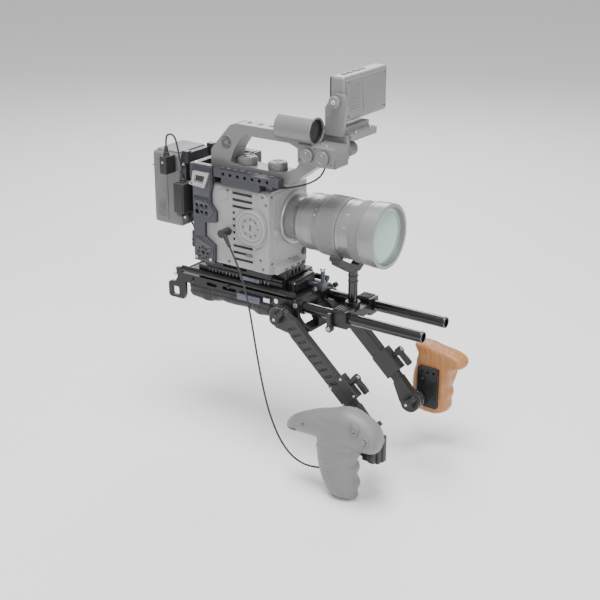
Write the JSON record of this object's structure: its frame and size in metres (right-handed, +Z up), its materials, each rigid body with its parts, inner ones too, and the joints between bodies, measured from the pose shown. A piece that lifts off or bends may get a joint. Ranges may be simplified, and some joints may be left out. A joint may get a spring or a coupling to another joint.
{
  "type": "cinema camera rig",
  "caption": "Shoulder rig carrying a cinema camera: sliding camera sled and cage, lens support on rods, folding telescopic arms with a moulded and a wooden grip, top handle and monitor.",
  "frame": {"origin": "middle of the shoulder saddle's underside, on the rig's centre plane", "axes": "+X forward along the lens, +Y to the operator's left, +Z up"},
  "size_m": [0.4383, 0.2405, 0.5251],
  "materials": {
    "cage_slate": "matt anodised slate",
    "frame_black": "satin black anodised",
    "rod_black": "glossy black anodised",
    "arm_charcoal": "satin charcoal anodised",
    "lever_grey": "satin blue grey",
    "camera_shell": "fine textured grey",
    "lens_grey": "satin grey",
    "lens_rubber": "ribbed grey rubber",
    "lens_glass": "coated glass",
    "battery_grey": "fine textured grey",
    "monitor_grey": "satin grey",
    "handle_grey": "satin grey",
    "grip_grey": "soft grey rubber",
    "wood": "oiled wood",
    "pad_foam": "black woven cover over foam",
    "bright_metal": "bright brushed",
    "cord_black": "matt black jacket",
    "dark_plastic": "matt black",
    "record_red": "smooth grey"
  },
  "bodies": {
    "frame": {"right_side_plate": "frame_black", "left_side_plate": "frame_black", "base_plate": "frame_black", "cross_plate": "frame_black", "shoulder_pad": "pad_foam", "rods": "rod_black", "dovetail_clamp": "frame_black", "front_block": "frame_black", "frame_fittings": "bright_metal", "pivot_bosses": "frame_black"},
    "sled_latch": {"sled_latch": "lever_grey"},
    "pad_latch": {"pad_latch": "lever_grey"},
    "lock_screw": {"lock_screw": "lever_grey"},
    "lens_support": {"support_clamp": "frame_black"},
    "support_mast": {"support_post": "bright_metal", "support_cradle": "dark_plastic"},
    "right_rod_lever": {"right_rod_lever": "lever_grey"},
    "left_rod_lever": {"left_rod_lever": "lever_grey"},
    "camera": {"sled_plate": "frame_black", "riser_plate": "frame_black", "cage_side": "cage_slate", "cage_top": "cage_slate", "cable_clip": "bright_metal", "camera_body": "camera_shell", "lens_barrel": "lens_grey", "lens_glass": "lens_glass", "battery": "battery_grey", "battery_plate": "battery_grey", "battery_plug": "dark_plastic", "battery_lead": "cord_black", "converter_box": "dark_plastic", "outlet_lead": "cord_black", "power_outlet": "dark_plastic", "angle_jack": "dark_plastic", "remote_cable": "cord_black", "top_handle": "handle_grey", "handle_cable": "cord_black", "monitor_mount": "monitor_grey"},
    "monitor": {"monitor": "monitor_grey"},
    "zoom_ring": {"zoom_ring": "lens_rubber"},
    "focus_ring": {"focus_ring": "lens_rubber"},
    "rear_dial": {"rear_dial": "dark_plastic"},
    "front_dial": {"front_dial": "dark_plastic"},
    "rear_handle_knob": {"rear_handle_knob": "dark_plastic"},
    "front_handle_knob": {"front_handle_knob": "dark_plastic"},
    "right_arm": {"right_arm": "arm_charcoal"},
    "left_arm": {"left_arm": "arm_charcoal"},
    "right_slider": {"right_slider": "arm_charcoal"},
    "left_slider": {"left_slider": "arm_charcoal"},
    "right_arm_lever": {"right_arm_lever": "lever_grey"},
    "left_arm_lever": {"left_arm_lever": "lever_grey"},
    "right_slide_lever": {"right_slide_lever": "lever_grey"},
    "left_slide_lever": {"left_slide_lever": "lever_grey"},
    "right_grip_lever": {"right_grip_lever": "lever_grey"},
    "left_grip_lever": {"left_grip_lever": "lever_grey"},
    "right_grip": {"right_grip": "grip_grey", "right_adapter": "dark_plastic"},
    "left_grip": {"left_grip": "wood", "left_grip_plate": "frame_black"},
    "record_button": {"record_button": "record_red"}
  },
  "joints": [
    {"name": "camera_slide", "type": "slide", "parent": "frame", "child": "camera", "axis": [1, 0, 0], "range_m": [-0.108, 0], "deforming": ["remote_cable"]},
    {"name": "lens_support_slide", "type": "slide", "parent": "frame", "child": "lens_support", "axis": [1, 0, 0], "range_m": [-0.033, 0.06]},
    {"name": "support_mast_height", "type": "slide", "parent": "lens_support", "child": "support_mast", "axis": [0, 0, 1], "range_m": [-0.02, 0.003]},
    {"name": "sled_latch_swing", "type": "hinge", "parent": "frame", "child": "sled_latch", "pos_m": [0.0195, -0.03965, 0.045], "axis": [0, 0, 1], "range_deg": [-60, 0]},
    {"name": "pad_latch_swing", "type": "hinge", "parent": "frame", "child": "pad_latch", "pos_m": [0.0185, -0.04615, 0.019], "axis": [0, 0, 1], "range_deg": [-50, 0]},
    {"name": "lock_screw_turn", "type": "hinge", "parent": "frame", "child": "lock_screw", "pos_m": [0.11, 0.01, 0.038], "axis": [1, 0, 0], "range_deg": [-45, 45]},
    {"name": "right_rod_lever_turn", "type": "hinge", "parent": "lens_support", "child": "right_rod_lever", "pos_m": [0.168, -0.044, 0.006], "axis": [0, 1, 0], "range_deg": [0, 90]},
    {"name": "left_rod_lever_turn", "type": "hinge", "parent": "lens_support", "child": "left_rod_lever", "pos_m": [0.168, 0.044, 0.006], "axis": [0, 1, 0], "range_deg": [0, 90]},
    {"name": "monitor_tilt", "type": "hinge", "parent": "camera", "child": "monitor", "pos_m": [0.157, -0.011, 0.302], "axis": [0, 1, 0], "range_deg": [-70, 70]},
    {"name": "zoom_ring_turn", "type": "hinge", "parent": "camera", "child": "zoom_ring", "pos_m": [0.15, 0, 0.1327], "axis": [1, 0, 0], "range_deg": [0, 70]},
    {"name": "focus_ring_turn", "type": "hinge", "parent": "camera", "child": "focus_ring", "pos_m": [0.198, 0, 0.1327], "axis": [1, 0, 0], "range_deg": [0, 180]},
    {"name": "rear_dial_turn", "type": "hinge", "parent": "camera", "child": "rear_dial", "pos_m": [0.134, -0.05, 0.236], "axis": [0, 1, 0], "continuous": true},
    {"name": "front_dial_turn", "type": "hinge", "parent": "camera", "child": "front_dial", "pos_m": [0.158, -0.05, 0.236], "axis": [0, 1, 0], "continuous": true},
    {"name": "rear_handle_knob_turn", "type": "hinge", "parent": "camera", "child": "rear_handle_knob", "pos_m": [0.027, -0.0315, 0.21], "axis": [0, 0, 1], "continuous": true},
    {"name": "front_handle_knob_turn", "type": "hinge", "parent": "camera", "child": "front_handle_knob", "pos_m": [0.076, -0.0315, 0.21], "axis": [0, 0, 1], "continuous": true},
    {"name": "right_arm_swing", "type": "hinge", "parent": "frame", "child": "right_arm", "pos_m": [0.095, -0.055, 0.0095], "axis": [0, 1, 0], "range_deg": [-50, 45], "deforming": ["remote_cable"]},
    {"name": "right_slider_reach", "type": "slide", "parent": "right_arm", "child": "right_slider", "axis": [0.7373, 0, -0.6756], "range_m": [0, 0.05], "deforming": ["remote_cable"]},
    {"name": "right_grip_tilt", "type": "hinge", "parent": "right_slider", "child": "right_grip", "pos_m": [0.23803, -0.07, -0.12157], "axis": [0, 1, 0], "range_deg": [-40, 40], "deforming": ["remote_cable"]},
    {"name": "right_arm_lever_turn", "type": "hinge", "parent": "right_arm", "child": "right_arm_lever", "pos_m": [0.095, -0.065, 0.0095], "axis": [0, 1, 0], "range_deg": [0, 100]},
    {"name": "right_slide_lever_turn", "type": "hinge", "parent": "right_arm", "child": "right_slide_lever", "pos_m": [0.21111, -0.0555, -0.05621], "axis": [0.6756, 0, 0.7373], "range_deg": [-100, 0]},
    {"name": "right_grip_lever_turn", "type": "hinge", "parent": "right_slider", "child": "right_grip_lever", "pos_m": [0.23803, -0.0457, -0.12157], "axis": [0, 1, 0], "range_deg": [0, 100]},
    {"name": "left_arm_swing", "type": "hinge", "parent": "frame", "child": "left_arm", "pos_m": [0.095, 0.055, 0.0095], "axis": [0, 1, 0], "range_deg": [-50, 45]},
    {"name": "left_slider_reach", "type": "slide", "parent": "left_arm", "child": "left_slider", "axis": [0.7373, 0, -0.6756], "range_m": [0, 0.05]},
    {"name": "left_grip_tilt", "type": "hinge", "parent": "left_slider", "child": "left_grip", "pos_m": [0.23803, 0.07, -0.12157], "axis": [0, 1, 0], "range_deg": [-40, 40]},
    {"name": "left_arm_lever_turn", "type": "hinge", "parent": "left_arm", "child": "left_arm_lever", "pos_m": [0.095, 0.065, 0.0095], "axis": [0, 1, 0], "range_deg": [0, 100]},
    {"name": "left_slide_lever_turn", "type": "hinge", "parent": "left_arm", "child": "left_slide_lever", "pos_m": [0.21111, 0.0555, -0.05621], "axis": [0.6756, 0, 0.7373], "range_deg": [0, 100]},
    {"name": "left_grip_lever_turn", "type": "hinge", "parent": "left_slider", "child": "left_grip_lever", "pos_m": [0.23803, 0.0457, -0.12157], "axis": [0, 1, 0], "range_deg": [0, 100]},
    {"name": "record_button_press", "type": "slide", "parent": "right_grip", "child": "record_button", "axis": [0, 1, 0], "range_m": [0, 0.0015], "stiffness_N_per_m": 600}
  ]
}
